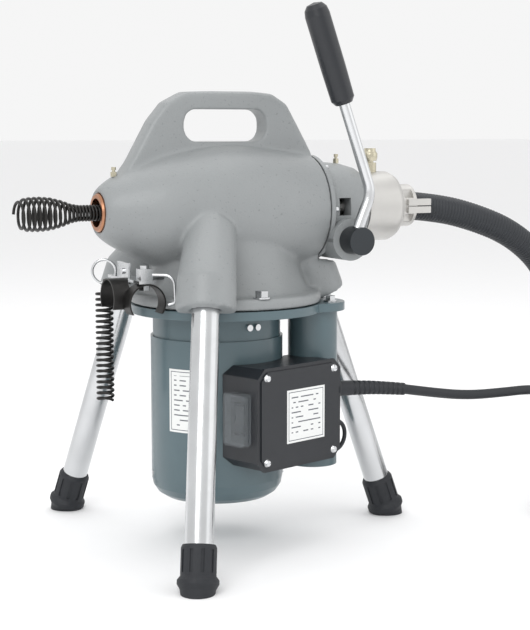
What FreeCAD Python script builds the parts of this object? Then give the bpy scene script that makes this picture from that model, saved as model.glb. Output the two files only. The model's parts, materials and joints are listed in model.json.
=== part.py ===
import FreeCAD, Part
import math
import os

import Sketcher
from FreeCAD import Placement, Rotation, Vector

# Sectional drain machine on a tripod. Millimetres, +Z up, +X towards the rear guide hose.
# The origin is on the floor, on the motor's upright axis. The spindle lies along X above it.

doc = FreeCAD.newDocument("drain_machine")
sheet = doc.addObject("Spreadsheet::Sheet", "Dims")

SIZES = {
    # stand
    "leg_circle": 219.0,       # radius of the circle on which the leg axes meet the floor
    "leg_splay": 20.0,         # degrees from upright
    "leg_rad": 14.3,
    "leg_wall": 1.6,
    "leg_top": 284.0,          # height of a leg's top end
    "foot_rad": 17.6,
    "foot_rim": 20.6,
    "foot_tall": 46.0,
    "boss_rad": 31.0,
    # main casting
    "spindle_high": 357.0,
    "flange_low": 258.0,
    "flange_thick": 12.0,
    "flange_rad": 103.0,
    "flange_x": 11.0,
    "cast_wall": 7.0,
    "nose_x": -135.0,
    "parting_x": 110.0,
    "belly_rad": 70.0,
    "handle_top": 483.0,
    "handle_wide": 27.0,
    # motor
    "motor_rad": 71.5,
    "motor_base": 47.0,
    "shell_low": 83.0,
    "shell_top": 223.0,
    "plate_thick": 10.0,
    "shell_wall": 3.0,
    "shaft_rad": 8.0,
    "cap_x": 100.0,
    "cap_y": -33.5,
    "cap_rad": 27.0,
    "cap_low": 78.0,
    # spindle and clutch
    "sleeve_rad": 20.0,
    "sleeve_bore": 16.0,
    "bush_rad": 20.0,
    "bush_bore": 15.0,
    "bearing_rad": 30.0,
    "gear_teeth": 40.0,
    "pinion_teeth": 12.0,
    "gear_rad": 46.0,
    "cable_rad": 8.7,
    "run_gap": 0.05,
    "free_gap": 0.4,
    # rear housing, lever and coupling
    "rear_end": 168.0,
    "tail_end": 200.0,
    "tail_rad": 30.0,
    "pivot_x": 133.0,
    "pivot_z": 324.0,
    "cam_rad": 8.0,
    "lever_y": -72.0,
    "rod_rad": 6.0,
    "grip_rad": 13.3,
    "collar_rad": 38.8,
    "collar_front": 170.0,
    "collar_rear": 218.0,
    "couple_rad": 24.0,
    "couple_bore": 17.0,
    "couple_end": 240.0,
    "pin_x": 191.0,
    # switch box, in its own turned axes: across, out from the motor, up
    "box_turn": 18.4,
    "box_left": -45.0,
    "box_right": 78.0,
    "box_out": 106.0,
    "box_back": 50.0,
    "box_low": 93.0,
    "box_high": 199.0,
    "lid_thick": 5.0,
    "box_wall": 3.0,
    # cords
    "hose_rad": 16.25,
    "cord_rad": 5.5,
}
for row, (word, number) in enumerate(SIZES.items(), start=1):
    sheet.set(f"A{row}", word)
    sheet.set(f"B{row}", str(number))
    sheet.setAlias(f"B{row}", word)
doc.recompute()

ORIGIN = Vector(0, 0, 0)
AXIS_X = Vector(1, 0, 0)
AXIS_Y = Vector(0, 1, 0)
AXIS_Z = Vector(0, 0, 1)
ALONG = {
    "Z": Rotation(),
    "X": Rotation(AXIS_Y, 90),
    "Y": Rotation(AXIS_X, -90),
}
LEG_ANGLES = {"rear": 0, "left": -120, "right": 120}


def dim(word):
    """A driving size, read from the sheet."""
    return float(sheet.get(word))


def value(text):
    """The number that an expression on the sheet has now."""
    return float(sheet.evalExpression(str(text)))


def bind(thing, **sizes):
    """Ties properties to expressions; a double underscore stands for a dot."""
    for prop, text in sizes.items():
        thing.setExpression(prop.replace("__", "."), str(text))


def put(thing, at, turn=None):
    """Places a thing at three expressions, turned by a rotation or to a named axis."""
    spot = Vector(*(value(text) for text in at))
    thing.Placement = Placement(spot, ALONG[turn] if isinstance(turn, str) else turn or Rotation())
    for letter, text in zip("xyz", at):
        thing.setExpression(f"Placement.Base.{letter}", str(text))
    return thing


def rod(name, radius, length, at, turn=None):
    """A round bar from its low end."""
    bar = doc.addObject("Part::Cylinder", name)
    bind(bar, Radius=radius, Height=length)
    return put(bar, at, turn)


def block(name, long, wide, tall, at, turn=None):
    """A box from its low corner."""
    box = doc.addObject("Part::Box", name)
    bind(box, Length=long, Width=wide, Height=tall)
    return put(box, at, turn)


def hexagon(name, across, tall, at, turn=None):
    """A hexagonal bar, given by its size across the flats."""
    prism = doc.addObject("Part::Prism", name)
    prism.Polygon = 6
    bind(prism, Circumradius=f"({across}) / sqrt(3)", Height=tall)
    return put(prism, at, turn)


def join(name, *things):
    """Several solids made one."""
    whole = doc.addObject("Part::MultiFuse", name)
    whole.Shapes = list(things)
    whole.Refine = True
    return whole


def less(name, base, *tools):
    """A solid with others cut out of it."""
    left = doc.addObject("Part::Cut", name)
    left.Base = base
    left.Tool = tools[0] if len(tools) == 1 else join(name + "_tools", *tools)
    return left


def group(name, *things):
    """Separate solids that share one node."""
    made = doc.addObject("Part::Compound", name)
    made.Links = list(things)
    return made


def plain(name, shape, placement=None):
    """A feature that holds a shape worked out by Part's own functions."""
    made = doc.addObject("Part::Feature", name)
    made.Shape = shape
    if placement:
        made.Placement = placement
    return made


def turned(name, points, at=("0", "0", "0"), turn="Z"):
    """A body of revolution. points are (radius, distance along the axis) as expressions."""
    body = doc.addObject("PartDesign::Body", name)
    plane = next(o for o in body.Origin.OriginFeatures if o.Role == "XZ_Plane")
    sketch = body.newObject("Sketcher::SketchObject", name + "_profile")
    sketch.AttachmentSupport = [(plane, "")]
    sketch.MapMode = "FlatFace"
    spots = [Vector(value(r), value(h), 0) for r, h in points]
    for number, spot in enumerate(spots):
        sketch.addGeometry(Part.LineSegment(spot, spots[(number + 1) % len(spots)]))
    for number, (radius, height) in enumerate(points):
        following = (number + 1) % len(points)
        sketch.addConstraint(Sketcher.Constraint("Coincident", number, 2, following, 1))
        for kind, text in (("DistanceX", radius), ("DistanceY", height)):
            made = sketch.addConstraint(
                Sketcher.Constraint(kind, -1, 1, number, 1, value(text))
            )
            sketch.setExpression(f"Constraints[{made}]", str(text))
    turning = body.newObject("PartDesign::Revolution", name + "_turn")
    turning.Profile = sketch
    turning.ReferenceAxis = (sketch, ["V_Axis"])
    turning.Angle = 360
    return put(body, at, turn)


def leg_place(angle, along=0.0):
    """A place on a leg's axis, its own Z up the leg, along it from the floor."""
    lean = Placement(Vector(dim("leg_circle"), 0, 0), Rotation(AXIS_Y, -dim("leg_splay")))
    slid = lean.multiply(Placement(Vector(0, 0, along), Rotation()))
    return Placement(ORIGIN, Rotation(AXIS_Z, angle)).multiply(slid)


def leg_length(high):
    """The distance up a leg's axis at which it is this high."""
    return high / math.cos(math.radians(dim("leg_splay")))


def ring_wire(centre, radius, normal):
    """A closed circular wire."""
    return Part.Wire(Part.Edge(Part.Circle(centre, normal, radius)))


def tube_along(points, radius):
    """A round tube along straight runs joined by tangent arcs, and the arcs' radii.
    An arc's radius is 0.45 of its shorter run, divided by the tangent of half the turn."""
    spots = [Vector(*point) for point in points]
    edges, radii, start = [], [], spots[0]
    for before, corner, after in zip(spots, spots[1:], spots[2:]):
        back = (before - corner).normalize()
        ahead = (after - corner).normalize()
        shorter = min((before - corner).Length, (after - corner).Length)
        half = (math.pi - back.getAngle(ahead)) / 2
        reach = 0.45 * shorter
        first, last = corner + back * reach, corner + ahead * reach
        bulge = reach / math.tan(half) / math.cos(half) - reach / math.tan(half)
        middle = corner + (back + ahead).normalize() * bulge
        edges.append(Part.LineSegment(start, first).toShape())
        edges.append(Part.Arc(first, middle, last).toShape())
        radii.append(reach / math.tan(half))
        start = last
    edges.append(Part.LineSegment(start, spots[-1]).toShape())
    path = Part.Wire(edges)
    section = ring_wire(spots[0], radius, spots[1] - spots[0])
    solid = path.makePipeShell([section], True, True)
    share = solid.Volume / (math.pi * radius**2 * path.Length)
    print(f"tube of {path.Length:.0f} mm, volume share {share:.4f}, radii",
          [round(r) for r in radii])
    return solid


# ---------------------------------------------------------------- main casting

def smooth_turned(points, centre_high):
    """A solid of revolution about X through a smooth profile of (x, radius) points."""
    spots = [Vector(x, 0, centre_high + radius) for x, radius in points]
    curve = Part.BSplineCurve()
    curve.interpolate(spots)
    first, last = (Vector(spot.x, 0, centre_high) for spot in (spots[0], spots[-1]))
    outline = Part.Wire([
        Part.LineSegment(first, spots[0]).toShape(),
        curve.toShape(),
        Part.LineSegment(spots[-1], last).toShape(),
        Part.LineSegment(last, first).toShape(),
    ])
    return Part.Face(outline).revolve(Vector(0, 0, centre_high), AXIS_X, 360)


def barrel_points(inset):
    """The barrel's profile from nose to parting plane, drawn in by an inset."""
    nose, rear, belly = dim("nose_x"), dim("parting_x"), dim("belly_rad")
    stations = [
        (nose, 0.343), (nose + 8, 0.443), (nose + 25, 0.586), (nose + 55, 0.786),
        (nose + 95, 0.929), (0, 1.0), (rear - 50, 0.943), (rear, 0.829),
    ]
    return [(x, share * belly - inset) for x, share in stations]


def ellipse_wire(centre, long, wide):
    """A level ellipse, long along X."""
    return Part.Wire(Part.Ellipse(centre, long, wide).toShape())


def pedestal():
    """The waist between the barrel and the flange, flaring down."""
    middle, top = dim("flange_x"), dim("spindle_high")
    low = dim("flange_low") + dim("flange_thick")
    across = dim("flange_rad")
    sections = [
        ellipse_wire(Vector(middle, 0, low - 2), 0.93 * across, 0.83 * across),
        ellipse_wire(Vector(middle, 0, low + 14), 0.84 * across, 0.69 * across),
        ellipse_wire(Vector(middle - 2, 0, low + 38), 0.80 * across, 0.63 * across),
        ellipse_wire(Vector(middle - 6, 0, top - 12), 0.74 * across, 0.58 * across),
    ]
    return Part.makeLoft(sections, True, False)


def leg_boss(angle):
    """A buttress that carries one leg, round about the leg and leaning into the barrel."""
    lean, rad = math.radians(dim("leg_splay")), dim("boss_rad")
    up = Vector(-math.sin(lean), 0, math.cos(lean))
    foot = Vector(dim("leg_circle"), 0, 0)
    low = foot + up * leg_length(dim("flange_low") + 4)
    middle = foot + up * leg_length(dim("leg_top") + 8)
    high = Vector(0.28 * dim("leg_circle"), 0, dim("spindle_high") - 20)
    sections = [
        ring_wire(low, rad, up),
        ring_wire(middle, 0.97 * rad, up),
        ring_wire(high, 0.85 * rad, Vector(-1, 0, 0.75)),
    ]
    boss = Part.makeLoft(sections, True, True)
    boss.rotate(ORIGIN, AXIS_Z, angle)
    return boss


def handle():
    """The carrying handle: a closed bow on the barrel with a long gap for the hand."""
    top, wide, low = dim("handle_top"), dim("handle_wide"), dim("spindle_high") + 25
    outline = [
        (-122, low), (-105, top - 79), (-78, top - 31), (-62, top - 12), (-40, top - 1),
        (-12, top), (38, top), (62, top - 2), (80, top - 13), (96, top - 40), (112, top - 68),
        (112, low),
    ]
    spots = [Vector(x, -wide / 2, z) for x, z in outline]
    face = Part.Face(Part.makePolygon([*spots, spots[0]]))
    bow = face.extrude(Vector(0, wide, 0))
    gap = Part.makeBox(96, wide + 2, 34, Vector(-42, -wide / 2 - 1, top - 53))
    upright = [edge for edge in gap.Edges if abs(edge.tangentAt(edge.FirstParameter).y) > 0.9]
    return bow, gap.makeFillet(14, upright)


def casting():
    """The whole grey casting with its cavity, seats and leg sockets."""
    axis_high, wall = dim("spindle_high"), dim("cast_wall")
    low, thick = dim("flange_low"), dim("flange_thick")
    flange = Part.makeCylinder(dim("flange_rad"), thick, Vector(dim("flange_x"), 0, low))
    bow, gap = handle()
    long_edges = [e for e in bow.Edges if abs(e.tangentAt(e.FirstParameter).y) < 0.1
                  and e.CenterOfMass.z > dim("handle_top") - 75]
    bow = bow.makeFillet(0.2 * dim("handle_wide"), long_edges).cut(gap)
    solid = smooth_turned(barrel_points(0), axis_high)
    solid = solid.fuse([pedestal(), flange, bow, *map(leg_boss, LEG_ANGLES.values())])
    cuts = [smooth_turned(barrel_points(wall)[3:], axis_high)]
    nose = dim("nose_x")
    cuts.append(Part.makeCylinder(dim("bush_rad"), 200, Vector(nose - 2, 0, axis_high), AXIS_X))
    seat = Vector(nose + 35, 0, axis_high)
    cuts.append(Part.makeCylinder(dim("bearing_rad"), 40, seat, AXIS_X))
    cuts.append(Part.makeCylinder(0.53 * dim("flange_rad"), axis_high - low, Vector(0, 0, low - 1)))
    cuts.append(Part.makeBox(800, 800, 100, Vector(-400, -400, low - 100)))
    behind = Vector(dim("parting_x"), 0, axis_high)
    cuts.append(Part.makeCylinder(dim("belly_rad") * 0.829 + 2.5, 120, behind, AXIS_X))
    lever_boss = Vector(dim("pivot_x"), dim("lever_y") + 11, dim("pivot_z"))
    cuts.append(Part.makeCylinder(22.8, 124, lever_boss, AXIS_Y))
    for angle in LEG_ANGLES.values():
        socket = Part.makeCylinder(dim("leg_rad"), leg_length(dim("leg_top")))
        socket.Placement = leg_place(angle)
        cuts.append(socket)
    return solid.cut(cuts)


plain("main_housing", casting())


# ---------------------------------------------------------------- stand

def foot_shape(angle):
    """A ribbed rubber foot along the leg's axis, flat on the floor."""
    body, rim, tall = dim("foot_rad"), dim("foot_rim"), dim("foot_tall")
    profile = [
        (0, -8), (rim - 5, -8), (rim - 3, 4), (rim, 9), (rim, 13), (body, 17),
        (body, tall - 2), (body - 1.5, tall + 1), (0, tall + 1),
    ]
    spots = [Vector(r, 0, h) for r, h in profile]
    foot = Part.Face(Part.makePolygon([*spots, spots[0]])).revolve(ORIGIN, AXIS_Z, 360)
    groove = Part.makeBox(1.6, 3.4, tall - 24, Vector(body - 1.0, -1.7, 20))
    grooves = []
    for number in range(10):
        copy = groove.copy()
        copy.rotate(ORIGIN, AXIS_Z, 36 * number + 18)
        grooves.append(copy)
    foot = foot.cut(grooves)
    pocket = Part.makeCylinder(dim("leg_rad"), tall, Vector(0, 0, 10))
    foot = foot.cut(pocket)
    foot.Placement = leg_place(angle)
    return foot.cut(Part.makeBox(800, 800, 100, Vector(-400, -400, -100)))


def leg_tube(name, angle):
    """A plain steel tube from the foot's pocket to the socket's end."""
    length = leg_length(dim("leg_top")) - 10
    outer = rod(name + "_outer", "Dims.leg_rad", length, ("0", "0", "0"))
    inner = rod(name + "_inner", "Dims.leg_rad - Dims.leg_wall", length, ("0", "0", "0"))
    tube = less(name, outer, inner)
    tube.Placement = leg_place(angle, 10)


for side, angle in LEG_ANGLES.items():
    leg_tube(f"leg_{side}", angle)
    plain(f"foot_{side}", foot_shape(angle))
group("tripod_legs", *(doc.getObject(f"leg_{side}") for side in LEG_ANGLES))
group("rubber_feet", *(doc.getObject(f"foot_{side}") for side in LEG_ANGLES))


def bolt(name, across, head, shank, depth, at):
    """An upright hexagon bolt and washer, its washer's underside at the given place."""
    x, y, z = at
    return join(
        name,
        rod(name + "_washer", f"{across} * 0.72", 1.6, at),
        hexagon(name + "_head", across, head, (x, y, f"{z} + 1.6")),
        rod(name + "_shank", shank, f"{depth} + 1", (x, y, f"{z} - {depth}")),
    )


FLANGE_TOP = "Dims.flange_low + Dims.flange_thick"
BOLT_RING = "(Dims.flange_rad - 9)"
group(
    "flange_bolts",
    *(
        bolt(f"flange_bolt_{number}", 13, 6.5, 3.9, 6,
             (f"Dims.flange_x + {BOLT_RING} * cos({angle})", f"{BOLT_RING} * sin({angle})",
              FLANGE_TOP))
        for number, angle in enumerate((-92, 92), start=1)
    ),
)


# ---------------------------------------------------------------- motor

PLATE_LOW = "Dims.flange_low - Dims.plate_thick"


def leg_relief(name):
    """The space round the rear leg that its neighbours leave free."""
    free = Part.makeCylinder(dim("leg_rad") + 1.5, leg_length(dim("flange_low") + 20))
    free.Placement = leg_place(0)
    return plain(name, free)


less(
    "motor_flange_plate",
    join(
        "plate_blank",
        rod("plate_disc", "Dims.flange_rad", "Dims.plate_thick - 0.6",
            ("Dims.flange_x", "0", PLATE_LOW)),
        rod("plate_lug", "Dims.cap_rad + 8", "Dims.plate_thick - 0.6",
            ("Dims.cap_x", "Dims.cap_y", PLATE_LOW)),
    ),
    rod("plate_hole", "Dims.motor_rad * 0.5", 40, ("0", "0", "Dims.flange_low - 30")),
    leg_relief("plate_relief"),
    *(
        rod(f"plate_bolt_hole_{number}", 3.95, 40,
            (f"Dims.flange_x + {BOLT_RING} * cos({angle})", f"{BOLT_RING} * sin({angle})",
             "Dims.flange_low - 30"))
        for number, angle in enumerate((-92, 92), start=1)
    ),
)

turned("motor_shell", [
    ("Dims.motor_rad - Dims.shell_wall", "Dims.shell_low"),
    ("Dims.motor_rad", "Dims.shell_low"),
    ("Dims.motor_rad", "Dims.shell_top"),
    ("Dims.motor_rad - Dims.shell_wall", "Dims.shell_top"),
])
turned("motor_top_bell", [
    ("Dims.shaft_rad + 9", "Dims.shell_top + 4"),
    ("Dims.shaft_rad + 14", "Dims.shell_top + 4"),
    ("Dims.shaft_rad + 14", f"{PLATE_LOW} - 8"),
    ("Dims.motor_rad - 8", f"{PLATE_LOW} - 8"),
    ("Dims.motor_rad - 8", "Dims.shell_top"),
    ("Dims.motor_rad - 2.5", "Dims.shell_top"),
    ("Dims.motor_rad - 2.5", f"{PLATE_LOW}"),
    ("Dims.shaft_rad + 9", f"{PLATE_LOW}"),
])
turned("motor_bottom_bell", [
    ("0", "Dims.motor_base"),
    ("Dims.motor_rad - 22", "Dims.motor_base"),
    ("Dims.motor_rad - 13.6", "Dims.motor_base + 1.7"),
    ("Dims.motor_rad - 6.4", "Dims.motor_base + 6.4"),
    ("Dims.motor_rad - 1.7", "Dims.motor_base + 13.6"),
    ("Dims.motor_rad", "Dims.motor_base + 22"),
    ("Dims.motor_rad", "Dims.shell_low"),
    ("Dims.motor_rad - 6", "Dims.shell_low"),
    ("Dims.motor_rad - 6", "Dims.motor_base + 22"),
    ("Dims.motor_rad - 24", "Dims.motor_base + 5"),
    ("Dims.shaft_rad + 14", "Dims.motor_base + 5"),
    ("Dims.shaft_rad + 14", "Dims.motor_base + 17"),
    ("Dims.shaft_rad + 9", "Dims.motor_base + 17"),
    ("Dims.shaft_rad + 9", "Dims.motor_base + 5"),
    ("0", "Dims.motor_base + 5"),
])
turned("stator_core", [
    ("Dims.motor_rad * 0.56", "Dims.shell_low + 22"),
    ("Dims.motor_rad - Dims.shell_wall", "Dims.shell_low + 22"),
    ("Dims.motor_rad - Dims.shell_wall", "Dims.shell_top - 22"),
    ("Dims.motor_rad * 0.56", "Dims.shell_top - 22"),
])
turned("stator_windings_low", [
    ("Dims.motor_rad * 0.60", "Dims.shell_low + 10"),
    ("Dims.motor_rad * 0.86", "Dims.shell_low + 10"),
    ("Dims.motor_rad * 0.86", "Dims.shell_low + 22"),
    ("Dims.motor_rad * 0.60", "Dims.shell_low + 22"),
])
turned("stator_windings_high", [
    ("Dims.motor_rad * 0.60", "Dims.shell_top - 22"),
    ("Dims.motor_rad * 0.86", "Dims.shell_top - 22"),
    ("Dims.motor_rad * 0.86", "Dims.shell_top - 10"),
    ("Dims.motor_rad * 0.60", "Dims.shell_top - 10"),
])
join("motor_stator", *(doc.getObject(name) for name in
                       ("stator_core", "stator_windings_low", "stator_windings_high")))
turned("motor_rotor", [
    ("Dims.shaft_rad", "Dims.shell_low + 24"),
    ("Dims.motor_rad * 0.56 - Dims.free_gap", "Dims.shell_low + 24"),
    ("Dims.motor_rad * 0.56 - Dims.free_gap", "Dims.shell_top - 24"),
    ("Dims.shaft_rad", "Dims.shell_top - 24"),
])
PINION_LOW = "Dims.spindle_high - Dims.gear_rad - 12"
turned("motor_shaft", [
    ("0", "Dims.motor_base + 7"),
    ("Dims.shaft_rad", "Dims.motor_base + 7"),
    ("Dims.shaft_rad", f"{PINION_LOW} + 22"),
    ("0", f"{PINION_LOW} + 22"),
])
group(
    "motor_bearings",
    *(
        turned(f"motor_bearing_{number}", [
            ("Dims.shaft_rad + Dims.run_gap", low),
            ("Dims.shaft_rad + 9", low),
            ("Dims.shaft_rad + 9", f"{low} + 10"),
            ("Dims.shaft_rad + Dims.run_gap", f"{low} + 10"),
        ])
        for number, low in enumerate(
            ("Dims.motor_base + 6.5", "Dims.shell_top + 6"), start=1)
    ),
)


def fan_shape():
    """A cooling fan: a hub with a back plate and upright blades."""
    low, rad, hub = dim("shell_low") - 10, 0.72 * dim("motor_rad"), dim("shaft_rad") + 6
    plate = Part.makeCylinder(rad, 2, Vector(0, 0, low))
    fan = plate.fuse(Part.makeCylinder(hub, 16, Vector(0, 0, low)))
    blades = []
    for number in range(8):
        blade = Part.makeBox(rad - hub, 2, 13, Vector(hub - 1, -1, low + 1))
        blade.rotate(ORIGIN, AXIS_Z, 45 * number)
        blades.append(blade)
    return fan.fuse(blades).cut(Part.makeCylinder(dim("shaft_rad"), 40, Vector(0, 0, low - 5)))


plain("motor_fan", fan_shape())

group(
    "motor_screws",
    *(
        join(
            f"motor_screw_{number}",
            rod(f"motor_screw_head_{number}", 3.4, 4,
                (f"(Dims.motor_rad - 2.9) * cos({angle})",
                 f"(Dims.motor_rad - 2.9) * sin({angle})", high), turn),
            rod(f"motor_screw_tip_{number}", 1.6, 6,
                (f"(Dims.motor_rad - 8) * cos({angle})",
                 f"(Dims.motor_rad - 8) * sin({angle})", high), turn),
        )
        for number, (angle, high) in enumerate(
            ((-86, "Dims.shell_top + 14"), (-78, "Dims.shell_top + 14"),
             (-30, "Dims.shell_low - 9"), (170, "Dims.shell_low - 9")), start=1)
        for turn in [Rotation(AXIS_Z, angle).multiply(ALONG["X"])]
    ),
)

less(
    "capacitor_tube",
    rod("capacitor_can", "Dims.cap_rad", f"{PLATE_LOW} - Dims.cap_low",
        ("Dims.cap_x", "Dims.cap_y", "Dims.cap_low")),
    rod("capacitor_can_space", "Dims.cap_rad - 2", f"{PLATE_LOW} - Dims.cap_low",
        ("Dims.cap_x", "Dims.cap_y", "Dims.cap_low + 2.5")),
)
rod("capacitor", "Dims.cap_rad - 4", 110, ("Dims.cap_x", "Dims.cap_y", "Dims.cap_low + 2.5"))
bolt("capacitor_cap_screw", 10, 5, 3, 5,
     ("Dims.cap_x + 12", "Dims.cap_y - 18", "Dims.flange_low - 0.6"))


def motor_label_shape():
    """A thin plate bent round the motor shell."""
    rad, low = dim("motor_rad"), 0.31 * dim("shell_top") + 57
    ring = Part.makeCylinder(rad + 0.3, 67, Vector(0, 0, low), AXIS_Z, 36)
    ring = ring.cut(Part.makeCylinder(rad, 67, Vector(0, 0, low), AXIS_Z, 360))
    ring.rotate(ORIGIN, AXIS_Z, -159)
    return ring




# ---------------------------------------------------------------- spindle and gears

HIGH = ("0", "0", "Dims.spindle_high")
turned("nose_bushing", [
    ("Dims.bush_bore", "Dims.nose_x - 2"), ("Dims.bush_rad - 1.5", "Dims.nose_x - 2"),
    ("Dims.bush_rad", "Dims.nose_x"), ("Dims.bush_rad", "Dims.nose_x + 30"),
    ("Dims.bush_bore", "Dims.nose_x + 30"),
], HIGH, "X")
turned("front_bearing", [
    ("Dims.sleeve_rad + Dims.run_gap", "Dims.nose_x + 38"),
    ("Dims.bearing_rad", "Dims.nose_x + 38"), ("Dims.bearing_rad", "Dims.nose_x + 54"),
    ("Dims.sleeve_rad + Dims.run_gap", "Dims.nose_x + 54"),
], HIGH, "X")
turned("rear_bearing", [
    ("Dims.sleeve_rad + Dims.run_gap", "Dims.rear_end - 26"),
    ("Dims.bearing_rad + 2", "Dims.rear_end - 26"), ("Dims.bearing_rad + 2", "Dims.rear_end - 10"),
    ("Dims.sleeve_rad + Dims.run_gap", "Dims.rear_end - 10"),
], HIGH, "X")

JAW_LOW, JAW_LONG, JAW_WIDE = 66, 18, 12
CONE_FALL = 0.595          # how much the clutch cone closes for each millimetre of push
CLUTCH_PUSH = 4.2


def cone_rad(x):
    """The clutch cone's radius at a distance along the spindle."""
    return dim("sleeve_rad") + 14.4 - CONE_FALL * (x - JAW_LOW)


def sleeve_shape():
    """The hollow spindle with its tapered jaw drum and three jaw slots."""
    high, rad = dim("spindle_high"), dim("sleeve_rad")
    start, end = dim("nose_x") + 36, dim("rear_end") - 10
    solid = Part.makeCylinder(rad, end - start, Vector(start, 0, high), AXIS_X)
    solid = solid.fuse(Part.makeCylinder(rad + 11, 5, Vector(JAW_LOW - 5, 0, high), AXIS_X))
    drum = Part.makeCone(rad + 8, rad + 1, 16, Vector(JAW_LOW, 0, high), AXIS_X)
    solid = solid.fuse(drum)
    solid = solid.cut(Part.makeCylinder(dim("sleeve_bore"), 400, Vector(start - 9, 0, high), AXIS_X))
    for number in range(3):
        slot = Part.makeBox(JAW_LONG + 0.6, JAW_WIDE + 0.6, 60,
                            Vector(JAW_LOW - 0.3, -JAW_WIDE / 2 - 0.3, high))
        slot.rotate(Vector(0, 0, high), AXIS_X, 120 * number)
        solid = solid.cut(slot)
    return solid


def jaw_shape(number):
    """One clutch jaw: a block whose back is part of the clutch cone."""
    high, inner = dim("spindle_high"), dim("cable_rad") + 2.8
    jaw = Part.makeBox(JAW_LONG, JAW_WIDE, 60, Vector(JAW_LOW, -JAW_WIDE / 2, high + inner))
    gap = dim("free_gap")
    cone = Part.makeCone(cone_rad(JAW_LOW) - gap, cone_rad(JAW_LOW + JAW_LONG) - gap, JAW_LONG,
                         Vector(JAW_LOW, 0, high), AXIS_X)
    jaw = jaw.common(cone)
    jaw.rotate(Vector(0, 0, high), AXIS_X, 120 * number)
    return jaw


def thrust_plate_shape():
    """The ring that closes the jaws: a plate with a tapered skirt over them."""
    high, rad = dim("spindle_high"), dim("sleeve_rad")
    low, plate = JAW_LOW + 2, JAW_LOW + 27
    solid = Part.makeCylinder(rad + 19, plate + 8 - low, Vector(low, 0, high), AXIS_X)
    hollow = Part.makeCone(cone_rad(low - 1), cone_rad(plate), plate - low + 1,
                           Vector(low - 1, 0, high), AXIS_X)
    bore = Part.makeCylinder(rad + dim("run_gap"), 80, Vector(low - 9, 0, high), AXIS_X)
    return solid.cut(hollow).cut(bore)


group("spindle_bearings", doc.getObject("front_bearing"), doc.getObject("rear_bearing"))
plain("spindle_sleeve", sleeve_shape())
for number, side in enumerate(("top", "near", "far")):
    plain(f"clutch_jaw_{side}", jaw_shape(number))
plain("thrust_plate", thrust_plate_shape())

THRUST_X = JAW_LOW + 27 + 8
turned("thrust_bearing", [
    ("Dims.sleeve_rad + 1", f"{THRUST_X} + 0.3"), ("Dims.sleeve_rad + 14", f"{THRUST_X} + 0.3"),
    ("Dims.sleeve_rad + 14", f"{THRUST_X} + 8"), ("Dims.sleeve_rad + 1", f"{THRUST_X} + 8"),
], HIGH, "X")
less(
    "clutch_yoke",
    join(
        "yoke_blank",
        rod("yoke_ring", "Dims.sleeve_rad + 17", f"Dims.pivot_x - Dims.cam_rad - 10.4 - {THRUST_X}",
            (f"{THRUST_X} + 8", "0", "Dims.spindle_high"), "X"),
        block("yoke_foot", f"Dims.pivot_x - Dims.cam_rad - 10.4 - {THRUST_X}", "56", "12",
              (f"{THRUST_X} + 8", "-28", "Dims.pivot_z - 2")),
    ),
    rod("yoke_hole", "Dims.sleeve_rad + 1.5", "80", ("60", "0", "Dims.spindle_high"), "X"),
)


def bevel_gear(teeth, pitch_rad, cone_long, bore, hub):
    """A straight bevel gear, its axis on +X and its cone's apex at the origin.
    Each tooth is a loft of one outline to the same outline drawn towards the apex."""
    face_share, module = 0.76, 2 * pitch_rad / teeth
    slope = pitch_rad / cone_long
    normal = Vector(-slope, 0, 1).normalize()
    outer = Vector(cone_long, 0, pitch_rad)

    def outline(share):
        spots = []
        for depth, half in ((-1.3, 0.95), (0, 0.68), (0.85, 0.36)):
            spots.append((outer + normal * depth * module, half * module))
        points = [s + Vector(0, w, 0) for s, w in spots] + [s - Vector(0, w, 0) for s, w in spots[::-1]]
        points = [point * share for point in points]
        return Part.makePolygon([*points, points[0]])

    tooth = Part.makeLoft([outline(1.0), outline(face_share)], True, True)
    root, inner = outer - normal * 1.05 * module, (outer - normal * 1.05 * module) * face_share
    profile = [
        Vector(root.x, 0, bore), root, inner, Vector(inner.x, 0, bore),
    ]
    if hub > 0:
        profile = [
            Vector(root.x + hub, 0, bore), Vector(root.x + hub, 0, root.z * 0.8), root, inner,
            Vector(inner.x, 0, bore),
        ]
    blank = Part.Face(Part.makePolygon([*profile, profile[0]])).revolve(ORIGIN, AXIS_X, 360)
    copies = []
    for number in range(int(teeth)):
        copy = tooth.copy()
        copy.rotate(ORIGIN, AXIS_X, 360 * number / teeth)
        copies.append(copy)
    return blank.fuse(copies)


PINION_RAD = dim("gear_rad") * dim("pinion_teeth") / dim("gear_teeth")
apex = Vector(0, 0, dim("spindle_high"))
ring = bevel_gear(dim("gear_teeth"), dim("gear_rad"), PINION_RAD, dim("sleeve_rad"), 12)
plain("ring_gear", ring, Placement(apex, Rotation()))
pinion = bevel_gear(dim("pinion_teeth"), PINION_RAD, dim("gear_rad"), dim("shaft_rad"), 8)
half_tooth = Rotation(AXIS_X, 180 / dim("pinion_teeth"))
plain("pinion_gear", pinion, Placement(apex, ALONG["X"].multiply(half_tooth)))

rod("cable_core", "Dims.cable_rad", "300", ("Dims.nose_x - 12", "0", "Dims.spindle_high"), "X")
turned("auger_end", [
    ("0", "-76"), ("13", "-76"), ("17.5", "-66"), ("18.3", "-52"), ("17", "-40"),
    ("13.5", "-28"), ("10.3", "-18"), ("8.8", "-9"), ("8.8", "0"), ("0", "0"),
], ("Dims.nose_x - 12", "0", "Dims.spindle_high"), "X")


join("drain_cable", doc.getObject("cable_core"), doc.getObject("auger_end"))


def grease_fitting(name, at, turn):
    """A hexagon with a nipple and its ball end."""
    x, y, z = at
    return join(
        name,
        hexagon(name + "_hex", 6, 5, at, turn),
        rod(name + "_neck", 1.7, 9, at, turn),
        rod(name + "_ball", 2.5, 3, (x, y, f"{z} + 7"), turn),
    )


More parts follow.
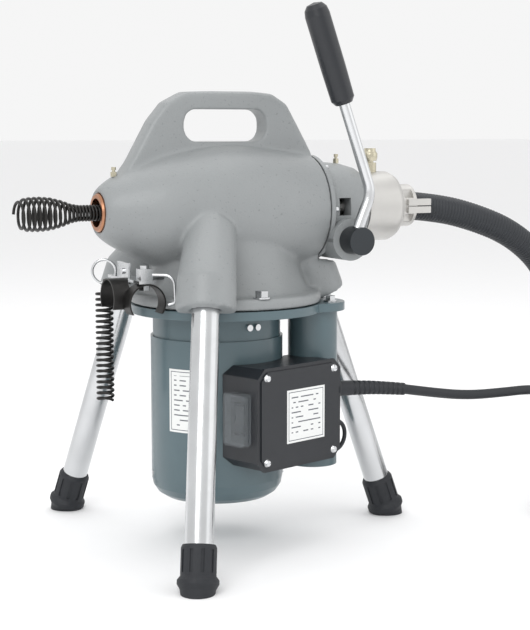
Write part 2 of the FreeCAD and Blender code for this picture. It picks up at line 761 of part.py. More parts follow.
grease_fitting("grease_fitting_front",
               ("Dims.nose_x + 18", "0", "Dims.spindle_high + 37"), "Z")
grease_fitting("grease_fitting_rear",
               ("Dims.parting_x + 37", "0", "Dims.spindle_high + 48.6"), "Z")


# ---------------------------------------------------------------- rear housing and lever

def rear_housing_shape():
    """The rear bell with the tail tube, the lever's bosses and an inspection window."""
    high, end, parting = dim("spindle_high"), dim("rear_end"), dim("parting_x")
    profile = [
        (parting, 0), (parting, 58), (parting + 5, 58), (parting + 6, 57), (parting + 6, 51), (parting + 37, 48.5),
        (end - 4, 44), (end, 40), (end, dim("tail_rad")), (dim("tail_end"), dim("tail_rad")),
        (dim("tail_end"), 0),
    ]
    spots = [Vector(x, 0, high + r) for x, r in profile]
    solid = Part.Face(Part.makePolygon([*spots, spots[0]])).revolve(
        Vector(0, 0, high), AXIS_X, 360)
    pivot_x, pivot_z = dim("pivot_x"), dim("pivot_z")
    near = Vector(pivot_x, dim("lever_y") + 12, pivot_z)
    solid = solid.fuse(Part.makeCylinder(22.4, -2 * near.y - 8, near, AXIS_Y))
    cuts = [
        Part.makeCylinder(46, end - 28 - parting + 1, Vector(parting - 1, 0, high), AXIS_X),
        Part.makeCylinder(dim("bearing_rad") + 2, 19, Vector(end - 29, 0, high), AXIS_X),
        Part.makeCylinder(dim("couple_rad"), 60, Vector(end - 13, 0, high), AXIS_X),
        Part.makeCylinder(dim("cam_rad") + dim("run_gap"), 200, near - AXIS_Y, AXIS_Y),
        Part.makeBox(15, 40, 19, Vector(parting + 14, -70, high - 7)),
        Part.makeBox(38, 66, 29.5, Vector(parting - 1, -33, pivot_z - 8.5)),
    ]
    groove = Part.makeCylinder(dim("tail_rad") + 1, 9, Vector(dim("pin_x") - 4.5, 0, high), AXIS_X)
    groove = groove.cut(Part.makeCylinder(dim("tail_rad") - 3, 9,
                                          Vector(dim("pin_x") - 4.5, 0, high), AXIS_X))
    return solid.cut([*cuts, groove])


plain("rear_housing", rear_housing_shape())


def screw_ring():
    """Socket screws round the parting flange."""
    high, parting, screws = dim("spindle_high"), dim("parting_x"), []
    for angle in (35, 90, 145, 215, 325):
        screw = Part.makeCylinder(2.9, 3.5, Vector(parting + 5.5, 0, high + 54), AXIS_X)
        screw = screw.cut(Part.makeCylinder(1.4, 2, Vector(parting + 7.5, 0, high + 54), AXIS_X))
        screw.rotate(Vector(0, 0, high), AXIS_X, angle)
        screws.append(screw)
    return Part.makeCompound(screws)


def cam_shaft_shape():
    """The lever's cross shaft with two eccentric discs that push the yoke."""
    x, z, near = dim("pivot_x"), dim("pivot_z"), dim("lever_y") + 11.6
    shaft = Part.makeCylinder(dim("cam_rad"), 110, Vector(x, near, z), AXIS_Y)
    for low in (-31, 23):
        disc = Part.makeCylinder(dim("cam_rad") + 2, 8, Vector(x, low, z + 5), AXIS_Y)
        shaft = shaft.fuse(disc)
    return shaft


plain("cam_shaft", cam_shaft_shape())
rod("lever_head", "15", "23.6", ("Dims.pivot_x", "Dims.lever_y - 12", "Dims.pivot_z"), "Y")

LEVER_BENDS = [(1, 13), (17, 51), (-17, 146)]   # along and above the pivot


def lever_rod_shape():
    """The bent round rod from the head up into the grip."""
    x, y, z = dim("pivot_x"), dim("lever_y"), dim("pivot_z")
    low, bend, top = (Vector(x + a, y, z + b) for a, b in LEVER_BENDS)
    reach = 12
    first, last = bend + (low - bend).normalize() * reach, bend + (top - bend).normalize() * reach
    middle = (first + last) / 2 * 0.5 + bend * 0.5
    end = top + (top - bend).normalize() * 60
    path = Part.Wire([
        Part.LineSegment(low, first).toShape(),
        Part.Arc(first, middle, last).toShape(),
        Part.LineSegment(last, end).toShape(),
    ])
    return path.makePipeShell([ring_wire(low, dim("rod_rad"), bend - low)], True, True)


def lever_grip_shape():
    """The moulded grip: a blunt low end, straight sides and a domed top."""
    x, y, z = dim("pivot_x"), dim("lever_y"), dim("pivot_z")
    bend, top = (Vector(x + a, y, z + b) for a, b in LEVER_BENDS[1:])
    rad, long = dim("grip_rad"), 110
    profile = [(0, 0), (rad - 4, 0), (rad - 0.6, 5), (rad, 40), (rad, long - 13),
               (rad * 0.9, long - 6.5), (rad * 0.62, long - 1.8), (0, long)]
    spots = [Vector(r, 0, h) for r, h in profile]
    grip = Part.Face(Part.makePolygon([*spots, spots[0]])).revolve(ORIGIN, AXIS_Z, 360)
    grip = grip.cut(Part.makeCylinder(dim("rod_rad"), 60))
    grip.Placement = Placement(top, Rotation(AXIS_Z, top - bend))
    return grip


plain("rear_housing_screws", screw_ring())
group("casing_screws", *(doc.getObject(name) for name in
                         ("rear_housing_screws", "motor_screws", "capacitor_cap_screw")))
group("grease_fittings", *(doc.getObject(f"grease_fitting_{end}") for end in ("front", "rear")))
plain("lever_rod", lever_rod_shape())
plain("lever_grip", lever_grip_shape())

# ---------------------------------------------------------------- collar, pin and coupling

less(
    "adjusting_collar",
    turned("collar_blank", [
        ("Dims.tail_rad + Dims.run_gap", "Dims.collar_front"),
        ("Dims.collar_rad - 1", "Dims.collar_front"),
        ("Dims.collar_rad", "Dims.collar_front + 1.5"),
        ("Dims.collar_rad", "Dims.collar_rear - 9"),
        ("Dims.collar_rad - 3", "Dims.collar_rear - 3"),
        ("Dims.collar_rad - 9", "Dims.collar_rear"),
        ("Dims.couple_rad + 0.3", "Dims.collar_rear"),
        ("Dims.couple_rad + 0.3", "Dims.tail_end + 0.5"),
        ("Dims.tail_rad + Dims.run_gap", "Dims.tail_end + 0.5"),
    ], HIGH, "X"),
    rod("collar_pin_hole", "4.05", "40", ("Dims.pin_x", "0", "Dims.spindle_high + 20"), "Z"),
)
COLLAR_TOP = "Dims.spindle_high + Dims.collar_rad"
turned("lock_pin_housing", [
    ("4.05", f"{COLLAR_TOP} - 3"), ("7.2", f"{COLLAR_TOP} - 3"), ("7.2", f"{COLLAR_TOP} + 10"),
    ("4.05", f"{COLLAR_TOP} + 10"),
], ("Dims.pin_x", "0", "0"), "Z")
turned("lock_pin", [
    ("0", "Dims.spindle_high + Dims.tail_rad - 2"), ("4", "Dims.spindle_high + Dims.tail_rad - 2"),
    ("4", f"{COLLAR_TOP} + 12"), ("7.5", f"{COLLAR_TOP} + 12"), ("8.5", f"{COLLAR_TOP} + 16"),
    ("8.5", f"{COLLAR_TOP} + 20"), ("6.5", f"{COLLAR_TOP} + 23"), ("6.5", f"{COLLAR_TOP} + 26"),
    ("0", f"{COLLAR_TOP} + 26"),
], ("Dims.pin_x", "0", "0"), "Z")

less(
    "hose_coupling",
    rod("coupling_tube", "Dims.couple_rad", "Dims.couple_end - Dims.rear_end + 8",
        ("Dims.rear_end - 8", "0", "Dims.spindle_high"), "X"),
    rod("coupling_bore", "Dims.couple_bore", "200", ("Dims.rear_end - 20", "0", "Dims.spindle_high"), "X"),
    *(
        block(f"coupling_window_{number}", "12", "9", "9",
              ("Dims.couple_end - 16", y, f"Dims.spindle_high + {z}"))
        for number, (y, z) in enumerate(((-24, 9), (-24, -18), (15, 9), (15, -18)), start=1)
    ),
)
group(
    "coupling_latches",
    *(
        block(f"coupling_latch_{number}", "30", "5", "7.4",
              ("Dims.couple_end - 14", y, f"Dims.spindle_high + {z}"))
        for number, (y, z) in enumerate(
            (("-Dims.couple_rad - 3.5", 0.6), ("-Dims.couple_rad - 3.5", -8),
             ("Dims.couple_rad - 1.5", 0.6), ("Dims.couple_rad - 1.5", -8)), start=1)
    ),
)

# ---------------------------------------------------------------- switch box

TURN = Rotation(AXIS_Z, dim("box_turn"))


def in_box_axes(shape):
    """A shape drawn in the box's own axes, turned into the machine's."""
    shape.rotate(ORIGIN, AXIS_Z, dim("box_turn"))
    return shape


def chamfered_block(left, right, front, back, low, high, corner):
    """A block whose four upright-face corners are bevelled, as seen from the lid."""
    points = [
        (left + corner, low), (right - corner, low), (right, low + corner),
        (right, high - corner), (right - corner, high), (left + corner, high),
        (left, high - corner), (left, low + corner),
    ]
    spots = [Vector(x, -front, z) for x, z in points]
    return Part.Face(Part.makePolygon([*spots, spots[0]])).extrude(Vector(0, front - back, 0))


def switch_box_base_shape():
    """The hollow box, saddled on to the motor and the capacitor tube."""
    wall, corner = dim("box_wall"), 9
    left, right = dim("box_left"), dim("box_right")
    out, back = dim("box_out"), dim("box_back")
    low, high = dim("box_low"), dim("box_high")
    box = chamfered_block(left, right, out, back, low, high, corner)
    space = chamfered_block(left + wall, right - wall, out + 1, back, low + wall, high - wall,
                            corner - 2)
    motor = Part.makeCylinder(dim("motor_rad") + wall + 0.3, 400)
    can_at = Vector(dim("cap_x"), dim("cap_y"), 0)
    can_at = TURN.inverted().multVec(can_at)
    can = Part.makeCylinder(dim("cap_rad") + wall + 0.3, 400, can_at)
    box = box.cut(space.cut([motor, can]))
    box = box.cut([Part.makeCylinder(dim("motor_rad") + 0.2, 400),
                   Part.makeCylinder(dim("cap_rad") + 0.2, 400, can_at)])
    middle = (low + high) / 2
    hole = Part.makeBox(wall + 8, 20, 40, Vector(left - 2, -93, middle - 20))
    return in_box_axes(box.cut(hole))


def switch_box_lid_shape():
    """The lid with a shallow step round its face."""
    left, right, out = dim("box_left"), dim("box_right"), dim("box_out")
    low, high, thick = dim("box_low"), dim("box_high"), dim("lid_thick")
    lid = chamfered_block(left - 1, right + 1, out + thick - 1.5, out, low - 1, high + 1, 10)
    step = chamfered_block(left + 3, right - 3, out + thick, out + 1, low + 3, high - 3, 9)
    notch = Part.makeCylinder(10.2, 14, Vector(right - 5, -99.9, 165), AXIS_X)
    return in_box_axes(lid.fuse(step).cut(notch))


LID_FACE = dim("box_out") + dim("lid_thick")


def lid_screws_shape():
    """Four pan-head screws with slots, on the lid's corners."""
    screws = []
    for x in (dim("box_left") + 11, dim("box_right") - 11):
        for z in (dim("box_low") + 9, dim("box_high") - 9):
            head = Part.makeCone(4.2, 3.0, 2.2, Vector(x, -LID_FACE, z), Vector(0, -1, 0))
            slot = Part.makeBox(6, 1.2, 1.2, Vector(x - 3, -LID_FACE - 2.6, z - 0.6))
            screws.append(in_box_axes(head.cut(slot)))
    return Part.makeCompound(screws)


def box_label_shape():
    """The plain plate on the lid."""
    label = Part.makeBox(57, 0.4, 56, Vector(-5, -LID_FACE - 0.4, 118))
    return in_box_axes(label)


SWITCH_Y, SWITCH_Z = -83.0, 146.0


def switch_body_shape():
    """The switch's frame in the box's side, hollow for the rocker."""
    left = dim("box_left")
    frame = Part.makeBox(22, 24, 46, Vector(left - 1.5, SWITCH_Y - 12, SWITCH_Z - 23))
    frame = frame.cut(Part.makeBox(2.4, 30, 60, Vector(left, SWITCH_Y - 15, SWITCH_Z - 30)).cut(
        Part.makeBox(9, 19.8, 39.8, Vector(left - 2, SWITCH_Y - 9.9, SWITCH_Z - 19.9))))
    frame = frame.cut(Part.makeBox(3.6, 30, 60, Vector(left, SWITCH_Y - 15, SWITCH_Z - 30)).cut(
        Part.makeBox(9, 19.8, 39.8, Vector(left - 2, SWITCH_Y - 9.9, SWITCH_Z - 19.9))))
    space = Part.makeBox(14, 15, 34, Vector(left - 3, SWITCH_Y - 7.5, SWITCH_Z - 17))
    return in_box_axes(frame.cut(space))


def switch_rocker_shape():
    """The rocker: a paddle with its two faces at a shallow angle."""
    left = dim("box_left")
    points = [(left + 7, -14.5), (left + 7, 14.5), (left - 2.5, 14.5), (left - 0.5, 0),
              (left - 5, -14.5)]
    spots = [Vector(x, SWITCH_Y - 7, SWITCH_Z + z) for x, z in points]
    paddle = Part.Face(Part.makePolygon([*spots, spots[0]])).extrude(Vector(0, 14, 0))
    return in_box_axes(paddle)


def switch_boot_shape():
    """The clear cover over the rocker, a thin shell stood off the box's side."""
    left = dim("box_left")
    outer = Part.makeBox(10, 31, 55, Vector(left - 10.3, SWITCH_Y - 15.5, SWITCH_Z - 27.5))
    edges = [e for e in outer.Edges if abs(e.tangentAt(e.FirstParameter).x) > 0.9]
    outer = outer.makeFillet(5, edges)
    inner = Part.makeBox(10, 28, 52, Vector(left - 9.1, SWITCH_Y - 14, SWITCH_Z - 26))
    edges = [e for e in inner.Edges if abs(e.tangentAt(e.FirstParameter).x) > 0.9]
    return in_box_axes(outer.cut(inner.makeFillet(3.5, edges)))


def motor_lead_shape():
    """The small lead that loops out of the box's rear side and back in."""
    right, high = dim("box_right"), 113.5
    low = Vector(right, -100, high - 15.5)
    top = Vector(right, -100, high + 15.5)
    middle = Vector(right + 19, -100, high)
    path = Part.Wire([Part.Arc(low, middle, top).toShape()])
    return in_box_axes(path.makePipeShell([ring_wire(low, 2.3, AXIS_X)], True, True))


def gland_nut():
    """The cable gland's nut on the box's rear side."""
    return in_box_axes(Part.makeCylinder(9.3, 7, Vector(dim("box_right"), -99.9, 165), AXIS_X))


plain("switch_box_base", switch_box_base_shape())
plain("switch_box_lid", switch_box_lid_shape())
plain("lid_screws", lid_screws_shape())
plain("data_plates", Part.makeCompound([box_label_shape(), motor_label_shape()]))
plain("switch_body", switch_body_shape())
plain("switch_rocker", switch_rocker_shape())
plain("switch_boot", switch_boot_shape())
plain("motor_lead", motor_lead_shape())

# ---------------------------------------------------------------- tool hanger

CLIP_AT = Vector(-105, -52, 267)     # the near clip's centre
CLIP_RAD, CLIP_WALL, CLIP_WIDE = 20.0, 1.6, 18.0


def spring_clip(centre, along):
    """An open spring clip, a band bent to an arch with its mouth down."""
    start = centre - along * (CLIP_WIDE / 2)
    band = Part.makeCylinder(CLIP_RAD, CLIP_WIDE, start, along)
    band = band.cut(Part.makeCylinder(CLIP_RAD - CLIP_WALL, CLIP_WIDE, start, along))
    mouth = Part.makeBox(60, 60, 30, centre + Vector(-30, -30, -41))
    return band.cut(mouth)


def hanger_bracket_shape():
    """The steel strip that carries the clips, with its arm to the casting."""
    top = CLIP_AT.z + CLIP_RAD
    strip = Part.makeBox(18, 88, 3, Vector(-114, -60, top))
    arm = Part.makeBox(28, 16, 3, Vector(-97, -22, top))
    tab = Part.makeBox(3, 30, 22, Vector(-117, -37, top - 2))
    hole = Part.makeCylinder(3, 5, Vector(-110.9, 16.3, top - 1))
    return strip.fuse([arm, tab]).cut(hole)


def hanger_bolts_shape():
    """The near clip's square spacer and bolt head, the nut below it and the other clip's rivet."""
    x, y, top = CLIP_AT.x, CLIP_AT.y, CLIP_AT.z + CLIP_RAD + 3
    cube = Part.makeBox(13, 13, 12, Vector(x - 6.5, y - 6.5, top))
    head = Part.makeCylinder(4.5, 3.5, Vector(x, y, top + 12))
    below = CLIP_AT.z + CLIP_RAD - CLIP_WALL
    spots = [Vector(x + 6 * math.cos(math.radians(60 * k)), y + 6 * math.sin(math.radians(60 * k)),
                    below - 5.5) for k in range(6)]
    nut = Part.Face(Part.makePolygon([*spots, spots[0]])).extrude(Vector(0, 0, 5))
    rivet = Part.makeCylinder(3, 2, Vector(-117, -24, top + 8), Vector(-1, 0, 0))
    return Part.makeCompound([cube.fuse(head), nut, rivet])


plain("tool_clips", Part.makeCompound([
    spring_clip(CLIP_AT, AXIS_Y),
    spring_clip(Vector(-126, -24, CLIP_AT.z + 4), AXIS_X),
]))
plain("hanger_bracket", hanger_bracket_shape())
plain("hanger_bolts", hanger_bolts_shape())
plain("pin_key", tube_along([(-98.3, -58, 296), (-81, -72, 296), (-80, -73, 268),
                             (-86, -69, 266)], 1.5))
HANG_AT = Vector(-121, 21, 294)      # the ring that the spare tool hangs in
hang_ring = Part.makeTorus(12.4, 1.5, HANG_AT, Vector(0.42, 0.906, 0))
plain("hanger_ring", hang_ring)
hook = Part.makeTorus(5, 1.2, HANG_AT - Vector(0, 0, 14), Vector(0.906, -0.42, 0))
spare = Part.makeCylinder(9.8, 121, Vector(HANG_AT.x, HANG_AT.y, HANG_AT.z - 140))
plain("spare_auger", spare.fuse(hook))

# ---------------------------------------------------------------- cords

HOSE = [
    (234, 0, 357), (282, 0, 353), (332, 0, 341), (385, 2, 322), (438, 14, 289), (479, 36, 246),
    (507, 61, 196), (530, 87, 143), (555, 116, 94), (591, 145, 54), (640, 170, 28), (695, 186, 16.3),
]
CORD = [
    (196, -68, 157.5), (242, -67, 149), (285, -66, 143.2), (329, -66.5, 143), (372, -65, 143.5),
    (416, -52, 134), (466, -44, 110), (511, -68, 78), (533, -115, 46), (525, -165, 20),
    (490, -201, 9), (440, -203, 5.5),
]
SLEEVE = [(105, -69.5, 165), (135, -69, 164), (166, -68.6, 161.5), (196, -68, 157.5)]
HOSE_COIL, CORD_COIL = Vector(720, 0, 0), Vector(450, -130, 0)


def coil_ring(centre, inner, outer, tall):
    """The outer shape of a coil that lies on the floor."""
    ring = Part.makeCylinder(outer, tall, centre)
    return ring.cut(Part.makeCylinder(inner, tall, centre))


plain("guide_hose", tube_along(HOSE, dim("hose_rad")))
plain("hose_coil", coil_ring(HOSE_COIL, 127, 205, 2 * dim("hose_rad") + 0.5))
plain("power_cord", tube_along(CORD, dim("cord_rad")))
plain("cord_coil", coil_ring(CORD_COIL, 42, 77, 6 * dim("cord_rad")))
plain("cord_strain_relief", tube_along(SLEEVE, 8.55).fuse(gland_nut()))


def laid(profile, at, heading):
    """A body of revolution that lies level, its axis on a heading in degrees."""
    spots = [Vector(r, 0, h) for r, h in profile]
    solid = Part.Face(Part.makePolygon([*spots, spots[0]])).revolve(ORIGIN, AXIS_Z, 360)
    turn = Rotation(AXIS_Z, heading).multiply(ALONG["X"])
    solid.Placement = Placement(Vector(*at), turn)
    return solid


plain("hose_end_fitting", laid([(0, 0), (18.5, 0), (18.5, 26), (16, 30), (16, 44), (0, 44)],
                               (863.8, -8, 18.5), -93))
plug_body = laid([(0, 0), (7, 0), (9, 16), (17, 24), (18, 30), (18, 44), (0, 44)],
                        (448, -70, 51.2), 0)
plug_pins = [laid([(0, 0), (2.4, 0), (2.4, 19), (0, 19)], (492, -70 + side, 51.2), 0)
             for side in (-9.5, 9.5)]
plain("plug", Part.makeCompound([plug_body, *plug_pins]))

# ---------------------------------------------------------------- checks and files

NODES = """
main_housing nose_bushing spindle_bearings spindle_sleeve ring_gear pinion_gear
clutch_jaw_top clutch_jaw_near clutch_jaw_far thrust_plate thrust_bearing clutch_yoke
rear_housing cam_shaft lever_head lever_rod lever_grip adjusting_collar lock_pin_housing
lock_pin hose_coupling coupling_latches grease_fittings casing_screws
motor_flange_plate motor_shell motor_top_bell motor_bottom_bell motor_stator motor_rotor
motor_shaft motor_bearings motor_fan data_plates capacitor_tube capacitor flange_bolts
tripod_legs rubber_feet switch_box_base switch_box_lid lid_screws switch_body
switch_rocker switch_boot motor_lead tool_clips hanger_bracket hanger_bolts pin_key
hanger_ring spare_auger drain_cable guide_hose hose_coil hose_end_fitting power_cord
cord_coil cord_strain_relief plug
""".split()

doc.recompute()
faults = [made.Name for made in doc.Objects if {"Invalid", "Error"} & set(made.State)]
if faults:
    raise RuntimeError(f"these features failed: {faults}")
os.makedirs("parts", exist_ok=True)
for name in NODES:
    made = doc.getObject(name)
    made.Label = name
    if made.Shape.isNull() or not made.Shape.isValid() or not made.Shape.Solids:
        raise RuntimeError(f"{name} has no valid solid")
for name in NODES:
    doc.getObject(name).Shape.exportStep(f"parts/{name}.step")
print(len(NODES), "nodes written")
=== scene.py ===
"""Looks of a sectional drain machine: free cords, wound augers, softened castings and finishes."""

import json
import math

import bpy
import numpy as np
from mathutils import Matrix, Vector

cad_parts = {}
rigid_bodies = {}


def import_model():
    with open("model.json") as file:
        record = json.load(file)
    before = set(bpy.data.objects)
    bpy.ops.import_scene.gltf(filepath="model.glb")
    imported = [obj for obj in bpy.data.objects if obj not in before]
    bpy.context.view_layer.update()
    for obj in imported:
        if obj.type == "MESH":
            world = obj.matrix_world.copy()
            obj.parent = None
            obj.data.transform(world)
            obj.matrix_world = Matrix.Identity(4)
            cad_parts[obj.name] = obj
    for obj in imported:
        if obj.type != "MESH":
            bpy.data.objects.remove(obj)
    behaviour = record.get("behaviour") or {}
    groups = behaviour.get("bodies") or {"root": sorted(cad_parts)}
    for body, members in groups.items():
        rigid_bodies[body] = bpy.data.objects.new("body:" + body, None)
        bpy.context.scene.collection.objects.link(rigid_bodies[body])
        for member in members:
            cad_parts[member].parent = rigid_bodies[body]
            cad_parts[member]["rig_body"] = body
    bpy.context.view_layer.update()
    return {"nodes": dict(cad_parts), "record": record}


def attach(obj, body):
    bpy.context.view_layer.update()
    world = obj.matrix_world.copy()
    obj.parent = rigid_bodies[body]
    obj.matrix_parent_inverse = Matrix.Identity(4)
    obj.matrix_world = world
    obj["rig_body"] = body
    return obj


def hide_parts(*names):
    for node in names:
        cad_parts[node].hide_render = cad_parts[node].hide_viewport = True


bl_info = {
    "name": "Drain machine looks",
    "version": (1, 0, 0),
    "blender": (4, 5, 0),
    "location": "View3D > Sidebar > Drain machine",
    "description": "Builds the visual model of a drain machine on its tripod",
    "category": "Object",
}



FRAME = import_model()
MADE = {}

# directions and places in metres, as in the CAD
UP = np.array([0.0, 0.0, 1.0])
ALONG = np.array([1.0, 0.0, 0.0])
SPINDLE_HIGH = 0.357
HANGER_AT = (-0.121, 0.021)
HANGER_PIN = np.array([0.9072, -0.4206, 0])
BOX_TURN = math.radians(18.4)
SEAM_AT, SEAM_HALF, SEAM_LOWEST = 0.110, 0.0007, 0.300

# labels: left, right, lower and upper edge along and up the face that each lies on
MOTOR_WALL = 0.0715
MOTOR_SIDE = -0.02
MOTOR_LABEL = (-0.1984, -0.1535, 0.1261, 0.1931)
LID_LABEL = (-0.005, 0.052, 0.118, 0.174)
LABEL_WHITE, LABEL_INK = (0.78, 0.79, 0.78), (0.10, 0.11, 0.13)
BAR_ROWS, BAR_CELLS = 190.0, 260.0

# routes of the free cords in millimetres, before the loops that finish them
HOSE = [
    (234, 0, 357), (282, 0, 353), (332, 0, 341), (385, 2, 322), (438, 14, 289), (479, 36, 246),
    (507, 61, 196), (530, 87, 143), (555, 116, 94), (591, 145, 54), (640, 170, 28),
    (695, 186, 16.3),
]
CORD = [
    (196, -68, 157.5), (242, -67, 149), (285, -66, 143.2), (329, -66.5, 143), (372, -65, 143.5),
    (416, -52, 134), (466, -44, 110), (511, -68, 78), (533, -115, 46), (525, -165, 20),
    (490, -201, 9), (440, -203, 5.5),
]
SLEEVE = [(105, -69.5, 165), (135, -69, 164), (166, -68.6, 161.5), (196, -68, 157.5)]

# guide hose, and the loop that it ends in: centre, radii and height in millimetres, degrees
HOSE_RADIUS, RIB_DEPTH = 0.01625, 0.0014
HOSE_LOOP_AT, HOSE_LOOP_RADIUS, HOSE_LOOP_CLOSING = (720, 0), 187.7, 34
HOSE_LOOP_START, HOSE_LOOP_SWEEP, HOSE_LOOP_POINTS = 97.7, 460.7, 32
HOSE_LIES_AT = 16.4

# power cord's coil: the radius of each turn, and the turns at which it climbs, in millimetres
CORD_COIL_AT, CORD_COIL_START, CORD_COIL_END, CORD_COIL_STEP = (450, -130), -97.8, 2691, 15.0
CORD_FIRST_RADIUS, CORD_CHANGE = 73.7, 0.22
CORD_RADII = np.array([71, 60, 49, 49, 60, 71, 71, 60, 60.0])
CORD_LIES_AT, CORD_LAYER, CORD_LAST_RISE = 5.5, 11, 23.7
LAYER_TURNS, LAYER_CHANGE = (2.8, 5.8), 0.2
LAST_RISE_TURN, LAST_RISE_CHANGE = 7.22, 0.25

# strain relief and its nut, in metres
RELIEF_RADIUS, RELIEF_TAPER, RELIEF_PITCH, RELIEF_GROOVE = 0.0085, 0.0016, 0.0062, 0.0016
RELIEF_PLAIN = 0.022
GLAND_FACE, GLAND_NEAR, GLAND_HIGH = 0.078, 0.0999, 0.165
GLAND_DEPTHS = np.array([0.0, 0.0002, 0.001, 0.006, 0.0068, 0.007])
GLAND_RADII = [0.0084, 0.0086, 0.0093, 0.0093, 0.0086, 0.0082]

# drain cable: outside radius and pitch at places along X, in metres
CABLE_FROM, CABLE_TO = -0.2214, 0.1514
BULB_AT = [-0.2214, -0.213, -0.199, -0.187, -0.175, -0.165, -0.156, 0.16]
BULB_RADII = [0.0140, 0.0176, 0.0182, 0.0172, 0.0142, 0.0104, 0.0087, 0.0087]
PITCH_AT, PITCHES = [-0.222, -0.172, -0.156, 0.16], [0.0056, 0.0054, 0.0036, 0.0036]

# spare auger and its hook, in metres
SPARE_LOW, SPARE_HIGH, SPARE_RADIUS, SPARE_TURNS = 0.1557, 0.2735, 0.0098, 20
HOOK_HIGH, HOOK_RADIUS, HOOK_WIRE, HOOK_POINTS = 0.280, 0.005, 0.0012, 60

# camera: its place, its level direction of view and the direction across it
LENS = 87.4
CAMERA_AT = (-0.6952, -1.4904, 0.442)
VIEW_AHEAD = Vector((0.4226, 0.9063, 0))
VIEW_ACROSS = Vector((0.9063, -0.4226, 0))
VIEW_REACH, VIEW_SHIFT, VIEW_FALL = 1.645, 0.0527, 0.1209
LAMPS = (
    ("key", 30.0, 1.6, (-1.6, -1.7, 1.9)),
    ("fill", 8.0, 2.2, (1.9, -1.4, 1.3)),
    ("top", 16.0, 2.0, (0.2, 0.5, 2.3)),
)

# width in metres of the rounded edge of each plain piece
ROUNDED = (
    ("switch_box_base", 0.0008), ("switch_box_lid", 0.0009), ("lever_head", 0.0012),
    ("adjusting_collar", 0.0006), ("hose_coupling", 0.0006), ("coupling_latches", 0.0007),
    ("motor_flange_plate", 0.0009), ("hanger_bracket", 0.0005), ("hanger_bolts", 0.0006),
    ("flange_bolts", 0.0005), ("switch_rocker", 0.0008), ("lock_pin", 0.0005),
    ("hose_end_fitting", 0.0006), ("plug", 0.0010),
)


# ---------------------------------------------------------------- settings

class MachineSizes(bpy.types.PropertyGroup):
    """Sizes that are read when the pieces are made."""

    hose_rib: bpy.props.FloatProperty(
        name="Hose rib pitch", description="Distance between the hose's ribs",
        default=0.0042, unit="LENGTH")
    auger_wire: bpy.props.FloatProperty(
        name="Auger wire", description="Radius of the wire of the augers",
        default=0.0016, unit="LENGTH")
    voxel: bpy.props.FloatProperty(
        name="Casting grain", description="Cell size of the softened casting",
        default=0.0022, unit="LENGTH")
    floor: bpy.props.FloatProperty(
        name="Floor", description="Half the floor's side", default=60.0, unit="LENGTH")


class MachineColours(bpy.types.PropertyGroup):
    """Base colours of the painted pieces."""

    casting: bpy.props.FloatVectorProperty(
        name="Casting", description="Paint of the casting", subtype="COLOR", size=3,
        default=(0.255, 0.268, 0.272))
    motor: bpy.props.FloatVectorProperty(
        name="Motor", description="Paint of the motor", subtype="COLOR", size=3,
        default=(0.078, 0.122, 0.138))
    black: bpy.props.FloatVectorProperty(
        name="Black", description="Moulded plastic and rubber", subtype="COLOR", size=3,
        default=(0.012, 0.014, 0.018))


# ---------------------------------------------------------------- shader arithmetic

class Wire:
    """A shader socket that can be added, multiplied and compared."""

    def __init__(self, tree, socket):
        self.tree = tree
        self.socket = socket

    def maths(self, kind, other=0.0, swap=False):
        """A Math node on this socket and another value."""
        node = self.tree.nodes.new("ShaderNodeMath")
        node.operation = kind
        pair = (other, self) if swap else (self, other)
        for port, item in zip(node.inputs, pair):
            if isinstance(item, Wire):
                self.tree.links.new(item.socket, port)
            else:
                port.default_value = item
        return Wire(self.tree, node.outputs[0])

    def __add__(self, other):
        return self.maths("ADD", other)

    def __sub__(self, other):
        return self.maths("SUBTRACT", other)

    def __rsub__(self, other):
        return self.maths("SUBTRACT", other, swap=True)

    def __mul__(self, other):
        return self.maths("MULTIPLY", other)

    def __gt__(self, other):
        return self.maths("GREATER_THAN", other)

    def __lt__(self, other):
        return self.maths("LESS_THAN", other)

    __radd__ = __add__
    __rmul__ = __mul__


class Finish:
    """One material and the nodes that make it."""

    def __init__(self, name):
        self.material = bpy.data.materials.new(name)
        self.material.use_nodes = True
        self.tree = self.material.node_tree
        self.shader = self.tree.nodes["Principled BSDF"]
        self.place = self.node("ShaderNodeTexCoord", output="Object")

    def node(self, kind, output=0, settings=None, **inputs):
        """Any node, its settings and inputs given by name."""
        made = self.tree.nodes.new(kind)
        for word, item in (settings or {}).items():
            setattr(made, word, item)
        for word, item in inputs.items():
            port = made.inputs[word.replace("_", " ")]
            if isinstance(item, Wire):
                self.tree.links.new(item.socket, port)
            else:
                port.default_value = item
        return Wire(self.tree, made.outputs[output])

    def noise(self, scale, detail=3.0):
        """Noise over the object's own coordinates, about 0 to 1."""
        return self.node("ShaderNodeTexNoise", Vector=self.place, Scale=scale, Detail=detail)

    def mix(self, factor, low, high):
        """A colour between two colours or sockets."""
        node = self.tree.nodes.new("ShaderNodeMix")
        node.data_type = "RGBA"
        for port, item in ((node.inputs[0], factor), (node.inputs[6], low), (node.inputs[7], high)):
            if isinstance(item, Wire):
                self.tree.links.new(item.socket, port)
            else:
                port.default_value = item if isinstance(item, float) else (*item, 1.0)
        return Wire(self.tree, node.outputs[2])

    def send(self, wire, port):
        """Joins a varying value to one of the shader's sockets."""
        self.tree.links.new(wire.socket, self.shader.inputs[port])

    def fixed(self, **values):
        """Constants on the shader's own sockets."""
        for word, item in values.items():
            self.shader.inputs[word.replace("_", " ")].default_value = item


